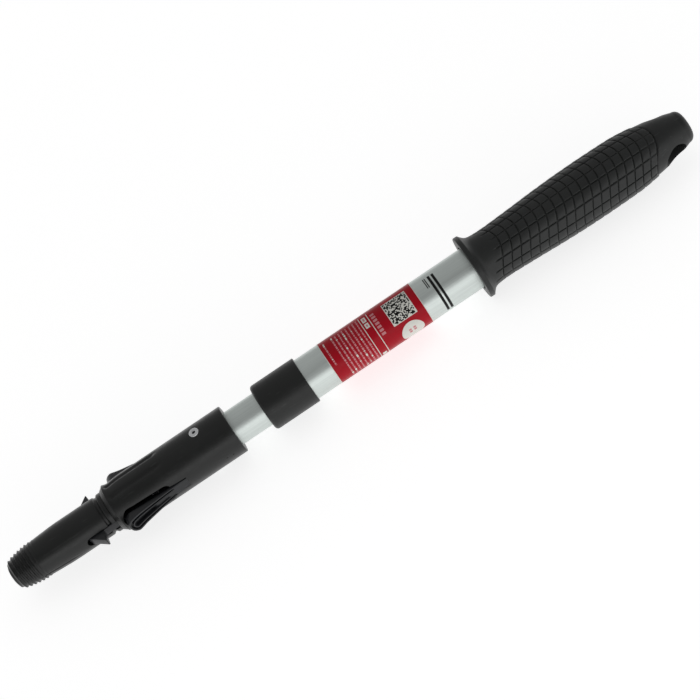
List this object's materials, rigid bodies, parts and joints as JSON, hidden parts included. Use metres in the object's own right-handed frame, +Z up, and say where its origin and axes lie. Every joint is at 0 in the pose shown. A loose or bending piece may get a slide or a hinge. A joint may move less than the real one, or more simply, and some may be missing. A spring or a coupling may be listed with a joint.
{
  "type": "telescopic extension pole",
  "caption": "Short two-stage twist-lock extension pole with a threaded quick-release taper tip, sprung latch levers and a soft grip with a hang hole.",
  "frame": {"origin": "under the middle of the collapsed pole, at the height the handle flange stands on", "axes": "+X along the pole towards the handle, +Z up through one housing rivet, latch levers on +Y and -Y"},
  "size_m": [0.44, 0.0392, 0.038],
  "materials": {
    "grip_rubber": "satin moulded rubber",
    "black_plastic": "satin moulded",
    "tube_aluminium": "satin anodised",
    "label_film": "printed film",
    "white_nylon": "natural",
    "red_nylon": "natural",
    "grey_plastic": "natural",
    "steel": "zinc plated"
  },
  "bodies": {
    "handle": {"grip_sleeve": "grip_rubber", "handle_core": "black_plastic", "outer_tube": "tube_aluminium", "tube_label": "label_film", "guide_collar": "black_plastic", "tube_end_plug": "grey_plastic"},
    "lock_carrier": {"lock_sleeve": "white_nylon"},
    "lock_nut": {"lock_cone_nut": "red_nylon"},
    "front_pole": {"inner_tube": "tube_aluminium", "spindle_plug": "black_plastic", "plug_rivets": "steel", "lock_spindle": "steel", "spindle_clip": "steel", "latch_housing": "black_plastic", "cone_tip": "black_plastic", "housing_rivets": "steel", "lever_pins": "steel", "lever_spring_near": "steel", "lever_spring_far": "steel"},
    "near_lever": {"latch_lever_near": "black_plastic"},
    "far_lever": {"latch_lever_far": "black_plastic"}
  },
  "joints": [
    {"name": "telescope_slide", "type": "slide", "parent": "handle", "child": "lock_carrier", "axis": [-1, 0, 0], "range_m": [0, 0.17]},
    {"name": "lock_twist", "type": "hinge", "parent": "lock_carrier", "child": "front_pole", "pos_m": [0.15, 0, 0.019], "axis": [1, 0, 0], "range_deg": [0, 180]},
    {"name": "nut_travel", "type": "slide", "parent": "lock_carrier", "child": "lock_nut", "axis": [1, 0, 0], "range_m": [0, 0.002]},
    {"name": "near_lever_press", "type": "hinge", "parent": "front_pole", "child": "near_lever", "pos_m": [-0.1085, -0.0086, 0.019], "axis": [0, 0, -1], "range_deg": [0, 7], "stiffness_Nm_per_rad": 1.2, "springref_deg": -4.58, "deforming": ["lever_spring_near"]},
    {"name": "far_lever_press", "type": "hinge", "parent": "front_pole", "child": "far_lever", "pos_m": [-0.1085, 0.0086, 0.019], "axis": [0, 0, 1], "range_deg": [0, 7], "stiffness_Nm_per_rad": 1.2, "springref_deg": -4.58, "deforming": ["lever_spring_far"]}
  ],
  "couplings": [
    {"joint": "nut_travel", "follows": "lock_twist", "m_per_rad": 0.0006366}
  ]
}
